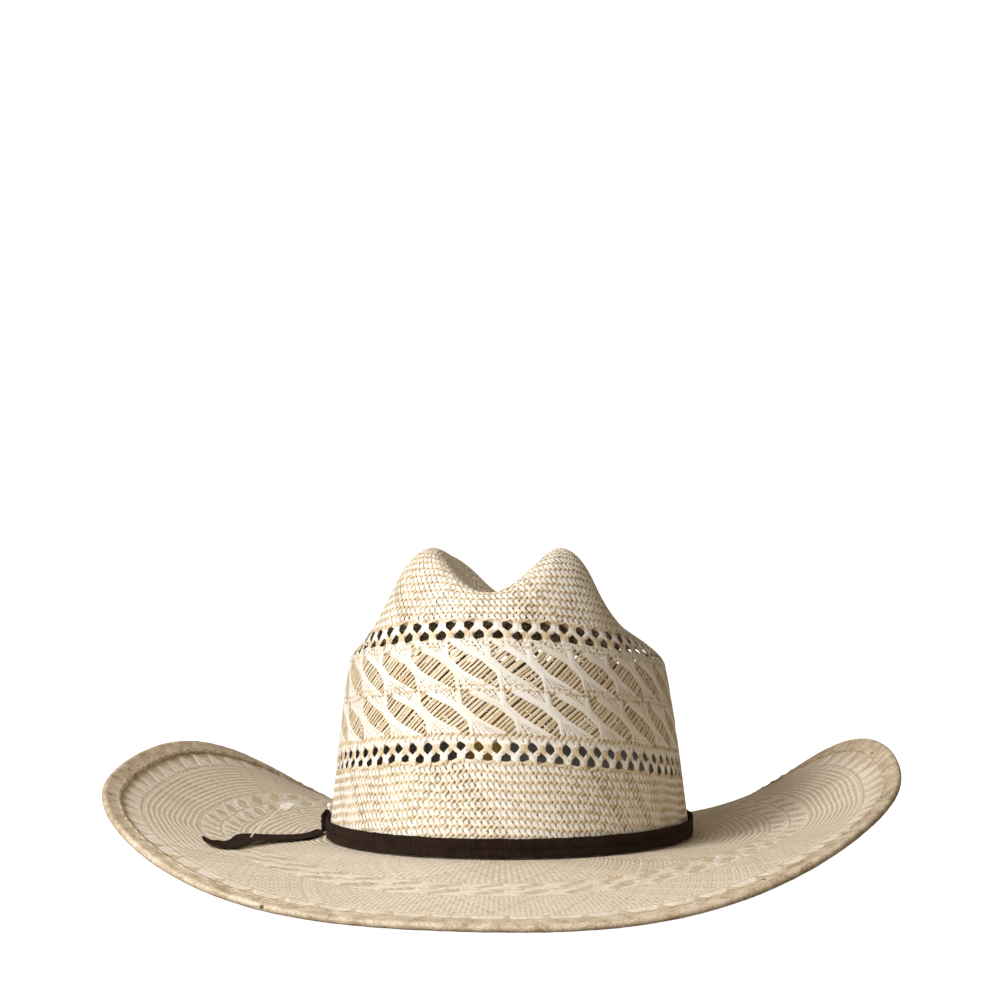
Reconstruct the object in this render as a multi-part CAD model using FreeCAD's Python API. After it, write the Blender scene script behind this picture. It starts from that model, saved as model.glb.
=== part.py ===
import FreeCAD, Part
import math
import os

from FreeCAD import Vector

# Cowboy hat of open-weave straw. Millimetres, +Z up, the front of the hat faces -Y and the
# wearer's left is +X. Everything is drawn about the centre of the head opening, at the level
# where the crown turns into the brim (the break), and moved at the end so that the origin is
# below the middle of the hat, on the surface that it stands on.

# straw body
STRAW = 1.2                  # thickness of the pressed weave
OPEN_HALF_WIDTH = 86.9       # outside of the crown at the break, across
OPEN_HALF_LENGTH = 105.4     # outside of the crown at the break, front to back
OVAL_POWER = 2.06            # 2 is an ellipse, more is squarer

# crown, a rounded block that is then creased by hand
BLOCK_HEIGHT = 156.6         # height of the block before it is creased
BLOCK_POWER = 4.47           # how square the shoulder of the block is
SIDE_TAPER = 0.104           # how fast the sides lean in
END_TAPER = 0.09             # how fast the front and back lean in
BACK_LEAN = 13.4             # how far the top is moved back
FRONT_DROP = 0.204           # how much lower the front of the block is than the back
TURN = 0.90                  # share of the block's height where its wall turns into its top
DENT = 0.407                 # how far the side dents push in
DENT_FOOT = 0.581            # share of the height where a dent begins
DENT_HEAD = 0.82             # and where it is at full depth
DENT_BACK = 83.5             # y where the dents begin
DENT_FULL = 22.0             # y where they are at full depth
CREASE_BACK = 54.0           # depth of the middle crease at the back
CREASE_FRONT = 28.4          # and further forward
CREASE_HALF_WIDTH = 19.5
CREASE_POWER = 9.4           # keeps the crease to the top of the block
PINCH = 0.15                 # how much the front is pinched

# brim, measured to the middle of its edge wire
EDGE_HALF_WIDTH = 184.0
EDGE_BACK = 200.5
EDGE_FRONT = 200.9
EDGE_EGG = 0.11              # how much wider the brim is behind than in front
EDGE_WAVES = [               # the edge's height: which wave round the hat, and how high
    (math.cos, 0, 7.2), (math.cos, 1, -1.0), (math.cos, 2, 30.4), (math.cos, 4, 1.3), (math.cos, 6, -3.0),
    (math.sin, 1, 0.3), (math.sin, 2, 2.0), (math.sin, 3, -3.7), (math.sin, 5, -2.9)]
EDGE_ROLL = 1.75             # outside radius of the rolled edge
HEM_WIDTH = 7.6              # the fold on the upper side
HEM_WIDTH_UNDER = 7.0
HEM_INNER = 0.66             # half the gap that the fold leaves for the straw
HEM_OUTER = 1.46
WIRE_RADIUS = 0.65
FERRULE_RADIUS = 0.86
FERRULE_LENGTH = 16.0
STITCH_RADIUS = 0.3
HEM_STITCHES = 150
HEM_STITCH_INSET = 6.0

# sweatband, measured inwards from the outside of the crown
BAND_GAP = 1.75              # outer face of the leather
LEATHER = 1.4
SWEATBAND_LOW = -1.4
SWEATBAND_HIGH = 38.0
REED_RADIUS = 1.0
TAPE_OUT = 1.27
TAPE_IN = 1.67
TAPE_LOW = 0.6
TAPE_HIGH = 8.0
SWEAT_STITCHES = 96
LABEL_LOW = 27.0
LABEL_HIGH = 53.0
LABEL_THICK = 0.6
LABEL_FROM = 281.0           # degrees round the opening, 270 is the front
LABEL_TO = 295.0

# ribbon round the crown
RIBBON = 1.0                 # thickness of the folded ribbon
RIBBON_GAP = 0.4             # clear of the straw, because the ribbon can be lifted off
RIBBON_HEIGHT = 8.8
KNOT_ANGLE = 1.0             # degrees round the opening, 0 is the wearer's left
TAIL_WIDTH = 10.0
TAIL_THICK = 0.7
TAIL_CLEAR = 0.9
TAG_AT = 0.74                # share of the tail's length where the tag pin goes through it

AROUND = 96                  # stations round the hat


def smooth(x):
    x = min(1.0, max(0.0, x))
    return x * x * (3.0 - 2.0 * x)


def oval_factor(phi, power):
    return (abs(math.cos(phi)) ** power + abs(math.sin(phi)) ** power) ** (-1.0 / power)


def crown_point(phi, station):
    """A point on the outside of the crown. Station 0 is the break, 1 the shoulder, 2 the middle of the top."""
    if station <= 1.0:
        high = TURN * station
        wide = (1.0 - high ** BLOCK_POWER) ** (1.0 / BLOCK_POWER)
    else:
        turn_wide = (1.0 - TURN ** BLOCK_POWER) ** (1.0 / BLOCK_POWER)
        wide = turn_wide * (2.0 - station)
        high = (1.0 - wide ** BLOCK_POWER) ** (1.0 / BLOCK_POWER)
    rise = high * BLOCK_HEIGHT
    reach = oval_factor(phi, OVAL_POWER) * wide
    x = reach * math.cos(phi) * (OPEN_HALF_WIDTH - SIDE_TAPER * rise)
    y = reach * math.sin(phi) * (OPEN_HALF_LENGTH - END_TAPER * rise) + BACK_LEAN * high
    z = rise * (1.0 - FRONT_DROP * (OPEN_HALF_LENGTH - y) / (2.0 * OPEN_HALF_LENGTH))
    along = smooth((DENT_BACK - y) / (DENT_BACK - DENT_FULL))
    x *= 1.0 - DENT * along * smooth((high - DENT_FOOT) / (DENT_HEAD - DENT_FOOT))
    x *= 1.0 - PINCH * smooth((20.0 - y) / 110.0) * high ** 2
    depth = CREASE_BACK + (CREASE_FRONT - CREASE_BACK) * smooth((90.0 - y) / 110.0)
    depth -= 10.0 * smooth((-y - 20.0) / 80.0)
    z -= depth * math.exp(-((x / CREASE_HALF_WIDTH) ** 2)) * high ** CREASE_POWER
    return Vector(x, y, z)


def normal_of(surface, phi, place, step):
    along = surface(phi + 0.01, place) - surface(phi - 0.01, place)
    across = surface(phi, place + step) - surface(phi, place - step)
    return along.cross(across).normalize()


def crown_inside(phi, station, depth):
    """The crown's outside, moved in by a depth."""
    middle = max(station, 0.02)
    return crown_point(phi, station) - normal_of(crown_point, phi, middle, 0.01) * depth


def wall_at(phi, height, depth):
    """The point of the crown's wall at a height, moved level towards the middle by a depth."""
    low, high = 0.0, 1.0
    for _ in range(30):
        middle = (low + high) / 2.0
        if crown_point(phi, middle).z < height:
            low = middle
        else:
            high = middle
    point = crown_point(phi, low)
    outward = normal_of(crown_point, phi, max(low, 0.02), 0.01)
    outward = Vector(outward.x, outward.y, 0).normalize()
    return Vector(point.x, point.y, height) - outward * depth


def edge_point(phi):
    """The middle of the edge wire."""
    side, end = math.cos(phi), math.sin(phi)
    power = 2.1 + 0.31 * end + 0.2 * ((1.0 - end) / 2.0) ** 4
    reach = oval_factor(phi, power)
    x = EDGE_HALF_WIDTH * reach * side * (1.0 + EDGE_EGG * end)
    y = (EDGE_BACK if end > 0 else EDGE_FRONT) * reach * end
    z = sum(height * wave(count * phi) for wave, count, height in EDGE_WAVES)
    return Vector(x, y, z)


def brim_point(phi, share):
    """A point in the middle of the brim's straw. Share 0 is at the head opening and 1 at the edge wire."""
    reach = oval_factor(phi, OVAL_POWER)
    x = (OPEN_HALF_WIDTH - STRAW) * reach * math.cos(phi)
    y = (OPEN_HALF_LENGTH - STRAW) * reach * math.sin(phi)
    edge = edge_point(phi)
    curl = 1.2 + 0.8 * math.cos(phi) ** 2
    z = -STRAW / 2.0 + (edge.z + STRAW / 2.0) * max(share, 0.0) ** curl
    return Vector(x + (edge.x - x) * share, y + (edge.y - y) * share, z)


def brim_up(phi, share):
    """Square to the brim, away from its underside."""
    return normal_of(brim_point, phi, min(max(share, 0.02), 0.99), 0.01) * -1.0


def brim_skin(phi, share, lift):
    return brim_point(phi, share) + brim_up(phi, share) * lift


def brim_place(phi, inset, lift):
    """A point on the brim, inset from the edge wire and lifted from the middle of the straw."""
    length = (brim_point(phi, 1.0) - brim_point(phi, 0.98)).Length / 0.02
    return brim_skin(phi, 1.0 - inset / length, lift)


def angles(count=AROUND):
    return [2.0 * math.pi * i / count for i in range(count)]


def ring_edge(points):
    """One smooth closed curve that follows a ring of points."""
    curve = Part.BSplineCurve()
    knots = list(range(len(points) + 1))
    curve.buildFromPolesMultsKnots(points, [1] * len(knots), knots, True, 3)
    return curve.toShape()


def ring_surface(rings):
    """One smooth skin through several rings of points."""
    around = len(rings[0])
    degree = min(3, len(rings) - 1)
    poles = [[ring[i] for ring in rings] for i in range(around)]
    u_knots = list(range(around + 1))
    v_knots = list(range(len(rings) - degree + 1))
    v_mults = [degree + 1] + [1] * (len(v_knots) - 2) + [degree + 1]
    skin = Part.BSplineSurface()
    skin.buildFromPolesMultsKnots(poles, [1] * len(u_knots), v_mults, u_knots, v_knots, True, False, 3, degree)
    return skin.toShape()


def solid_from(faces):
    shell = Part.makeShell(faces)
    if len(faces) > 1:
        shell.sewShape(0.001)
    solid = Part.makeSolid(shell)
    if solid.Volume < 0:
        solid.reverse()
    return solid


def ring_solid(section):
    """A closed ring whose section is a list of functions of the angle, one for each corner."""
    rings = [[corner(phi) for phi in angles()] for corner in section]
    faces = [ring_surface([rings[i - 1], rings[i]]) for i in range(len(rings))]
    return solid_from(faces)


def tube_ring(centre, out, up, radius):
    """A ring of wire with twelve narrow flats, as thick as a round wire of the radius."""
    corners = 12
    step = 2.0 * math.pi / corners
    size = radius * math.sqrt(step / math.sin(step))

    def corner(phi, turn):
        return centre(phi) + out(phi) * (size * math.cos(turn)) + up(phi) * (size * math.sin(turn))

    return ring_solid([lambda phi, turn=k * step: corner(phi, turn) for k in range(corners)])


def stitch(start, end, radius):
    run = end - start
    return Part.makeCylinder(radius, run.Length, start, run)


def rectangle(corners):
    return Part.makePolygon(corners + [corners[0]])


def straw_crown():
    stations = [i * 0.0625 for i in range(17)] + [1.0 + i * 0.068 for i in range(1, 14)]
    outside = [[crown_point(phi, s) for phi in angles()] for s in stations]
    inside = [[crown_inside(phi, s, STRAW) for phi in angles()] for s in stations]
    for skin, level in ((outside, 0.0), (inside, STRAW)):
        top = crown_point(0.0, 2.0).z - level
        skin[-1] = [Vector(p.x, p.y, top) for p in skin[-1]]
        skin[0] = [Vector(p.x, p.y, 0.0) for p in skin[0]]
    faces = [ring_surface(outside), ring_surface(inside)]
    faces += [Part.Face(Part.Wire(ring_edge(skin[-1]))) for skin in (outside, inside)]
    faces.append(ring_surface([outside[0], inside[0]]))
    return solid_from(faces)


def straw_brim():
    end = 1.0 - 0.9 / 98.0
    shares = [end * i / 16.0 for i in range(17)]
    top = [[brim_skin(phi, s, STRAW / 2.0) for phi in angles()] for s in shares]
    under = [[brim_skin(phi, s, -STRAW / 2.0) for phi in angles()] for s in shares]
    top[0] = [Vector(p.x, p.y, 0.0) for p in top[0]]
    faces = [ring_surface(top), ring_surface(under)]
    faces.append(ring_surface([top[0], under[0]]))
    faces.append(ring_surface([top[-1], under[-1]]))
    return solid_from(faces)


def brim_hem():
    """The straw folded back over the edge wire, above and below the brim."""
    half = HEM_WIDTH / 2.0
    inner = 1.0
    outer = EDGE_ROLL
    lean = math.sqrt(0.5)
    section = [(HEM_WIDTH, HEM_INNER), (half, HEM_INNER), (0.75, HEM_INNER), (0.0, inner)]
    section += [(-inner * lean, inner * lean), (-inner, 0.0), (-inner * lean, -inner * lean)]
    section += [(0.0, -inner), (0.75, -HEM_INNER), (half, -HEM_INNER), (HEM_WIDTH_UNDER, -HEM_INNER)]
    section += [(HEM_WIDTH_UNDER, -HEM_OUTER), (half, -HEM_OUTER), (1.2, -HEM_OUTER), (0.0, -outer)]
    section += [(-outer * lean, -outer * lean), (-outer, 0.0), (-outer * lean, outer * lean)]
    section += [(0.0, outer), (1.2, HEM_OUTER), (half, HEM_OUTER), (HEM_WIDTH, HEM_OUTER)]
    return ring_solid([lambda phi, at=at: brim_place(phi, at[0], at[1]) for at in section])


def edge_out(phi):
    out = brim_point(phi, 1.0) - brim_point(phi, 0.98)
    return out.normalize()


def brim_edge_wire():
    return tube_ring(edge_point, edge_out, lambda phi: brim_up(phi, 1.0), WIRE_RADIUS)


def wire_ferrule():
    """The small tube that joins the wire's two ends, at the back."""
    half = FERRULE_LENGTH / 2.0 / EDGE_BACK
    turns = [math.pi / 2 - half + half * i / 2.0 for i in range(5)]
    tubes = []
    for radius in (FERRULE_RADIUS, WIRE_RADIUS + 0.05):
        rounds = []
        for phi in turns:
            run = edge_point(phi + 0.001) - edge_point(phi - 0.001)
            rounds.append(Part.Wire(Part.makeCircle(radius, edge_point(phi), run)))
        tubes.append(Part.makeLoft(rounds, True))
    return tubes[0].cut(tubes[1])


def hem_stitching():
    pieces = []
    span = 2.0 * math.pi / HEM_STITCHES
    lift = HEM_OUTER + 0.9 * STITCH_RADIUS
    for phi in angles(HEM_STITCHES):
        for side in (1.0, -1.0):
            start = brim_place(phi, HEM_STITCH_INSET, side * lift)
            end = brim_place(phi + 0.6 * span, HEM_STITCH_INSET, side * lift)
            pieces.append(stitch(start, end, STITCH_RADIUS))
    return Part.makeCompound(pieces)


def wall_ring(low, high, out_depth, in_depth):
    """A strip that lines the crown's wall between two heights and two depths."""
    heights = [low + (high - low) * i / 3.0 for i in range(4)]
    skins = []
    for depth in (out_depth, in_depth):
        skins.append([[wall_at(phi, height, depth) for phi in angles()] for height in heights])
    faces = [ring_surface(skin) for skin in skins]
    faces += [ring_surface([skins[0][end], skins[1][end]]) for end in (0, -1)]
    return solid_from(faces)


def sweatband():
    return wall_ring(SWEATBAND_LOW, SWEATBAND_HIGH, BAND_GAP, BAND_GAP + LEATHER)


def sweatband_tape():
    return wall_ring(TAPE_LOW, TAPE_HIGH, TAPE_OUT, TAPE_IN)


def level_out(phi):
    out = normal_of(crown_point, phi, 0.02, 0.01)
    return Vector(out.x, out.y, 0).normalize()


def sweatband_reed():
    """The round cord in the sweatband's lower edge."""
    depth = BAND_GAP + LEATHER / 2.0
    level = SWEATBAND_LOW - REED_RADIUS - 0.05
    return tube_ring(lambda phi: wall_at(phi, 0.0, depth) + Vector(0, 0, level),
                     level_out, lambda phi: Vector(0, 0, 1), REED_RADIUS)


def sweatband_stitching():
    pieces = []
    span = 2.0 * math.pi / SWEAT_STITCHES
    depth = BAND_GAP + LEATHER + 0.9 * STITCH_RADIUS
    for phi in angles(SWEAT_STITCHES):
        start = wall_at(phi, 3.0, depth)
        end = wall_at(phi + 0.62 * span, 3.0, depth)
        pieces.append(stitch(start, end, STITCH_RADIUS))
    return Part.makeCompound(pieces)


def sweatband_bow():
    """A flat ribbon bow on the sweatband's back seam: two loops, two ends and a knot."""
    depth = BAND_GAP + LEATHER + 0.5
    centre = wall_at(math.pi / 2, 14.0, depth)
    width = 4.0
    bow = Part.makeBox(3.4, 3.0, width + 1.2, centre + Vector(-1.7, -3.4, -width / 2 - 0.6))
    bow = bow.makeFillet(1.0, bow.Edges)
    for side in (1.0, -1.0):
        middle = centre + Vector(side * 6.6, -1.9, -width / 2)
        rings = [Part.Face(Part.Wire(Part.Ellipse(middle, long, short).toShape()))
                 for long, short in ((5.8, 1.5), (5.2, 0.9))]
        loop = rings[0].cut(rings[1]).extrude(Vector(0, 0, width))
        end = [(0.4, -1.9), (9.0, -12.0), (12.0, -9.6), (1.2, 0.4)]
        corners = [centre + Vector(side * x, -1.2, z) for x, z in end]
        tail = Part.Face(rectangle(corners)).extrude(Vector(0, 0.5, 0))
        bow = bow.fuse(loop).fuse(tail)
    return bow.removeSplitter()


def inside_label():
    """A plain patch that stands up from the sweatband, on the wearer's left of the front."""
    near = BAND_GAP + LEATHER + 0.1
    sections = []
    for i in range(5):
        phi = math.radians(LABEL_FROM + (LABEL_TO - LABEL_FROM) * i / 4.0)
        low = wall_at(phi, LABEL_LOW, near)
        high = wall_at(phi, LABEL_HIGH, near)
        inwards = wall_at(phi, LABEL_LOW, near + LABEL_THICK) - low
        sections.append(rectangle([low, high, high + inwards, low + inwards]))
    return Part.makeLoft(sections, True, True)


def hat_band():
    """The ribbon's closed ring. It's level, and as wide as the crown at the break, so it lifts off."""
    low = RIBBON_GAP
    high = RIBBON_GAP + RIBBON_HEIGHT
    inner = -RIBBON_GAP
    outer = inner - RIBBON
    corners = [(low, inner), (high, inner), (high, outer), (low, outer)]
    return ring_solid([lambda phi, at=at: wall_at(phi, 0.0, at[1]) + Vector(0, 0, at[0]) for at in corners])


def knot_frame():
    phi = math.radians(KNOT_ANGLE)
    out = level_out(phi)
    return wall_at(phi, 0.0, -RIBBON_GAP - RIBBON - 0.05), out, Vector(0, 0, 1).cross(out)


def block(foot, out, side, sizes, rounding):
    """A rounded block that stands on its foot: sizes are out, sideways and up."""
    box = Part.makeBox(sizes[0], sizes[1], sizes[2], Vector(0, -sizes[1] / 2, 0))
    box = box.makeFillet(rounding, box.Edges)
    turn = FreeCAD.Rotation(out, side, Vector(0, 0, 1), "XYZ")
    box.Placement = FreeCAD.Placement(foot, turn)
    return box


def band_knot():
    """The ribbon wrapped over itself where its tail leaves."""
    foot, out, side = knot_frame()
    wrap = block(foot + Vector(0, 0, 0.8), out, side, (2.6, 7.6, 10.4), 1.1)
    fold = block(foot + out * 0.6 + side * 1.4 + Vector(0, 0, 2.4), out, side, (3.2, 5.0, 7.2), 1.3)
    return wrap.fuse(fold).removeSplitter()


def knot_pin():
    """A small nylon pin that stands up behind the knot: a stem with a round head."""
    foot, out, side = knot_frame()
    base = foot + out * 0.7 - side * 4.5 + Vector(0, 0, 7.4)
    stem = Part.makeCylinder(0.7, 4.6, base, Vector(0, 0, 1))
    head = Part.makeSphere(1.1, base + Vector(0, 0, 5.0))
    return stem.fuse(head).removeSplitter()


def tail_path(share):
    """Where the middle of the ribbon's tail lies, from the knot outwards and back over the brim."""
    foot, out, side = knot_frame()
    start = foot + out * 6.0 + side * 4.6
    end = Vector(124.0, 112.0, 0)
    x = start.x + (end.x - start.x) * share - 6.0 * math.sin(math.pi * share)
    y = start.y + (end.y - start.y) * share
    phi = math.atan2(y, x)
    for _ in range(12):
        edge = edge_point(phi)
        reach = oval_factor(phi, OVAL_POWER)
        foot_x = (OPEN_HALF_WIDTH - STRAW) * reach * math.cos(phi)
        foot_y = (OPEN_HALF_LENGTH - STRAW) * reach * math.sin(phi)
        along = Vector(edge.x - foot_x, edge.y - foot_y, 0)
        part = Vector(x - foot_x, y - foot_y, 0).dot(along) / along.dot(along)
        miss = along.cross(Vector(x - foot_x, y - foot_y, 0)).z / along.Length
        phi += 0.8 * miss / math.hypot(x, y)
    return brim_skin(phi, part, STRAW / 2.0), brim_up(phi, part)


def band_tail():
    sections = []
    steps = 12
    for i in range(steps + 1):
        share = i / steps
        middle, up = tail_path(share)
        ahead = tail_path(share + 0.02)[0] - tail_path(share - 0.02)[0]
        across = up.cross(ahead.normalize())
        half = TAIL_WIDTH / 2.0 * (1.0 - 0.45 * smooth((0.14 - share) / 0.14) - 0.5 * smooth((share - 0.86) / 0.14))
        low = middle + up * (TAIL_CLEAR + 1.2 * math.exp(-(((share - TAG_AT) / 0.08) ** 2)))
        high = low + up * TAIL_THICK
        sections.append(rectangle([low - across * half, low + across * half,
                                   high + across * half, high - across * half]))
    return Part.makeLoft(sections, True)


def tag_pin():
    """A nylon price-tag fastener: a bar under the ribbon's tail, a thin stem through it and a paddle."""
    middle, up = tail_path(TAG_AT)
    ahead = (tail_path(TAG_AT + 0.02)[0] - middle).normalize()
    lean = Vector(-0.75, -0.66, 0)
    bar_foot = middle + up * 1.15 - ahead * 3.5
    bar = Part.makeCylinder(0.5, 7.0, bar_foot, ahead)
    low = middle + up * 1.2
    rise = middle + up * 5.5 + lean * 3.0
    bend = middle + up * 9.0 + lean * 9.0
    tip = middle + up * 11.8 + lean * 14.5
    spine = Part.BSplineCurve()
    spine.interpolate([low, rise, bend, tip])
    start_run = spine.tangent(spine.FirstParameter)[0]
    rim = Part.Wire(Part.makeCircle(0.35, low, start_run))
    stem = Part.Wire(spine.toShape()).makePipeShell([rim], True, True)
    run = spine.tangent(spine.LastParameter)[0]
    side = run.cross(up).normalize()
    paddle = Part.makeBox(6.5, 3.6, 1.0, Vector(-0.6, -1.8, -0.5))
    paddle = paddle.makeFillet(0.4, paddle.Edges)
    paddle.Placement = FreeCAD.Placement(tip, FreeCAD.Rotation(run, side, run.cross(side), "XYZ"))
    return bar.fuse(stem).fuse(paddle).removeSplitter()


NODES = [straw_crown, straw_brim, brim_hem, brim_edge_wire, wire_ferrule, hem_stitching,
         sweatband, sweatband_tape, sweatband_reed, sweatband_stitching, sweatband_bow,
         inside_label, hat_band, band_knot, knot_pin, band_tail, tag_pin]


def main():
    os.makedirs("parts", exist_ok=True)
    shapes = {make.__name__: make() for make in NODES}
    box = shapes["brim_hem"].BoundBox
    shift = Vector(-(box.XMin + box.XMax) / 2.0, -(box.YMin + box.YMax) / 2.0, -box.ZMin)
    for name, shape in shapes.items():
        shape.translate(shift)
        shape.exportStep("parts/" + name + ".step")
        extent = shape.BoundBox
        print(name, "valid" if shape.isValid() else "NOT VALID", len(shape.Solids), "solids",
              round(shape.Volume / 1000.0, 3), "cm3",
              [round(v, 1) for v in (extent.XMin, extent.XMax, extent.YMin, extent.YMax, extent.ZMin, extent.ZMax)])
    print("the opening's centre is at", [round(v, 3) for v in shift])
    hinge = tail_path(0.0)[0] + shift
    ahead = (tail_path(0.05)[0] - tail_path(0.0)[0]).normalize()
    print("the tail leaves at", [round(v, 2) for v in hinge], "and runs", [round(v, 4) for v in ahead])


main()
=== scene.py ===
import math

import bmesh
import bpy
import numpy as np
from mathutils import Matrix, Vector


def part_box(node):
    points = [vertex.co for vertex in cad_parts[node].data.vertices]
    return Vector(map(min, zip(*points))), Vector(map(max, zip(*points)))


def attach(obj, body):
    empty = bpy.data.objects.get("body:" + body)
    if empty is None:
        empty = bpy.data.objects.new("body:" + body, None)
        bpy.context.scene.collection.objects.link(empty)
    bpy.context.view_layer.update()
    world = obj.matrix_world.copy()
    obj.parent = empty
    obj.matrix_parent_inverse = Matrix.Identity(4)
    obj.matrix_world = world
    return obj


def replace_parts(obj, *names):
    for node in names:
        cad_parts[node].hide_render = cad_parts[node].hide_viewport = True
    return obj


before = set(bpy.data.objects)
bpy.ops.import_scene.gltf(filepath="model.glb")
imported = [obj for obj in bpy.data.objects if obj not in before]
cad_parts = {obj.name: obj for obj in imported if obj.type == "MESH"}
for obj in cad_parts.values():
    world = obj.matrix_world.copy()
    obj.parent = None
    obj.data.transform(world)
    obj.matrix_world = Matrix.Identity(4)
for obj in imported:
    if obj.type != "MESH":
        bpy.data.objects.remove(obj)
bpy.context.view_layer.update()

# Open-weave straw cowboy hat. The straw body is drawn as single woven straws that follow the CAD crown
# and brim. Shapes are worked out in millimetres about the opening's centre, as in the CAD source, and
# turned into metres in the shared frame when a mesh is made.

RNG = np.random.default_rng(11)

CAMERA_TURN = 186.409         # degrees, 180 looks from the back to the front
CAMERA_RISE = 4.291           # degrees above level
CAMERA_AWAY = 1500.0          # from a point in the crown
CAMERA_PIVOT = 50.0           # that point's height above the opening
AIM_HEIGHT = 161.385          # where the camera points, above the opening
AIM_SIDE = -4.942             # and to the right of its middle
LENS = 111.335
LAMP_AIM = Vector((0.0, 0.0, 0.08))  # metres
SHADE_RADIUS = 0.12           # metres

# The head opening and the crown
STRAW = 1.2
OPEN_HALF_WIDTH = 86.9
OPEN_HALF_LENGTH = 105.4
OVAL_POWER = 2.06             # 2 is an ellipse, more is squarer
BLOCK_HEIGHT = 156.6          # before the crown is creased
BLOCK_POWER = 4.47
SIDE_TAPER = 0.104
END_TAPER = 0.09
BACK_LEAN = 13.4
FRONT_DROP = 0.204
TURN = 0.90
DENT = 0.407
DENT_FOOT = 0.581
DENT_HEAD = 0.82
DENT_BACK = 83.5
DENT_FULL = 22.0
CREASE_BACK = 54.0
CREASE_FRONT = 28.4
CREASE_HALF_WIDTH = 19.5
CREASE_POWER = 9.4
PINCH = 0.15

# The brim, its edge and its hem
EDGE_HALF_WIDTH = 184.0
EDGE_BACK = 200.5
EDGE_FRONT = 200.9
EDGE_EGG = 0.11
EDGE_WAVES = [                # the edge's height: which wave round the hat, and how high
    (np.cos, 0, 7.2), (np.cos, 1, -1.0), (np.cos, 2, 30.4), (np.cos, 4, 1.3), (np.cos, 6, -3.0),
    (np.sin, 1, 0.3), (np.sin, 2, 2.0), (np.sin, 3, -3.7), (np.sin, 5, -2.9)]
EDGE_ROLL = 1.75
HEM_WIDTH = 7.6
HEM_WIDTH_UNDER = 7.0
HEM_OUTER = 1.46
HEM_STITCHES = 150
HEM_STITCH_INSET = 6.0
STITCH_RADIUS = 0.3

# The sweatband
BAND_GAP = 1.75               # from the straw's outside to the leather
LEATHER = 1.4
SWEATBAND_LOW = -1.4
SWEATBAND_HIGH = 38.0
REED_RADIUS = 1.0
REED_WRAP = 1.42              # radius of the leather's turn round the reed
SWEAT_STITCHES = 96
SWEAT_STITCH_HEIGHT = 3.0

# The ribbon
RIBBON_GAP = 0.4
RIBBON = 1.0
RIBBON_HEIGHT = 8.8
KNOT_ANGLE = 1.0
RIB = 0.85                    # spacing of the ribbon's ribs

# The weave
PAINTED_CREVICE_SHADE = (0.34, 0.25, 0.15)  # painted shade on straw where it dips under another
HOLE_EVERY = 3.0              # straws from one hole to the next
HOLE_CLEAR = 1.2              # straws from a hole's middle to its sides
HOLE_REACH = 4.2              # how far above and below it a hole bends straws
LOWER_HOLES = ((46.0, 2.1), (50.0, 0.6))  # each row's level, and its first hole's place in straws
UPPER_HOLES = ((101.0, 0.45), (105.0, 1.95))
VENT_ROWS = ((66.2, 3), (87.2, 2))  # each row's middle level, and a group's first straw
VENT_STRAWS = 7
STAR_ROWS = ((44.5, 0), (54.0, 4))
STAR_STRAWS = 8
TEETH_START = 83.2
TEETH_END = 96.5
TEETH_ROWS = 9
TOOTH_STRAWS = 8

ribbon_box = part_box("hat_band")
ORIGIN = np.array([(ribbon_box[0].x + ribbon_box[1].x) / 2, (ribbon_box[0].y + ribbon_box[1].y) / 2,
                   ribbon_box[0].z - RIBBON_GAP / 1000])


def to_metres(points):
    return ORIGIN + np.asarray(points, float) * 0.001


# -------------------------------- camera, floor and light

def added(name, data):
    made = bpy.data.objects.new(name, data)
    bpy.context.scene.collection.objects.link(made)
    return made


def make_camera():
    turn, rise = math.radians(CAMERA_TURN), math.radians(CAMERA_RISE)
    pivot = np.array([0.0, 0.0, CAMERA_PIVOT])
    away = np.array([math.sin(turn) * math.cos(rise), -math.cos(turn) * math.cos(rise), math.sin(rise)])
    place = Vector(to_metres(pivot + CAMERA_AWAY * away))
    side = np.array([math.cos(turn), math.sin(turn), 0.0])
    aim = Vector(to_metres(np.array([0.0, 0.0, AIM_HEIGHT]) + AIM_SIDE * side))
    data = bpy.data.cameras.new("camera")
    data.lens = LENS
    data.sensor_width = 36.0
    data.clip_end = 100.0
    camera = added("camera", data)
    camera.location = place
    camera.rotation_euler = (aim - place).to_track_quat("-Z", "Y").to_euler()
    bpy.context.scene.camera = camera


def area_light(name, place, size, power, colour):
    data = bpy.data.lights.new(name, "AREA")
    data.shape = "DISK"
    data.size = size
    data.energy = power
    data.color = colour
    lamp = added(name, data)
    lamp.location = place
    lamp.rotation_euler = (LAMP_AIM - Vector(place)).to_track_quat("-Z", "Y").to_euler()


def white_stage(name, made):
    """A pure white stage surface. It's seen by the camera but throws no light or shade on the hat."""
    paint, _, skin = material(name, (0.93, 0.93, 0.92), 0.9, 0.5)
    skin.inputs["Emission Color"].default_value = (1.0, 1.0, 1.0, 1.0)
    skin.inputs["Emission Strength"].default_value = 1.0
    made.name = name
    made.data.materials.append(paint)
    made.visible_diffuse = False
    made.visible_glossy = False
    made.visible_transmission = False
    made.visible_shadow = False


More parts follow.
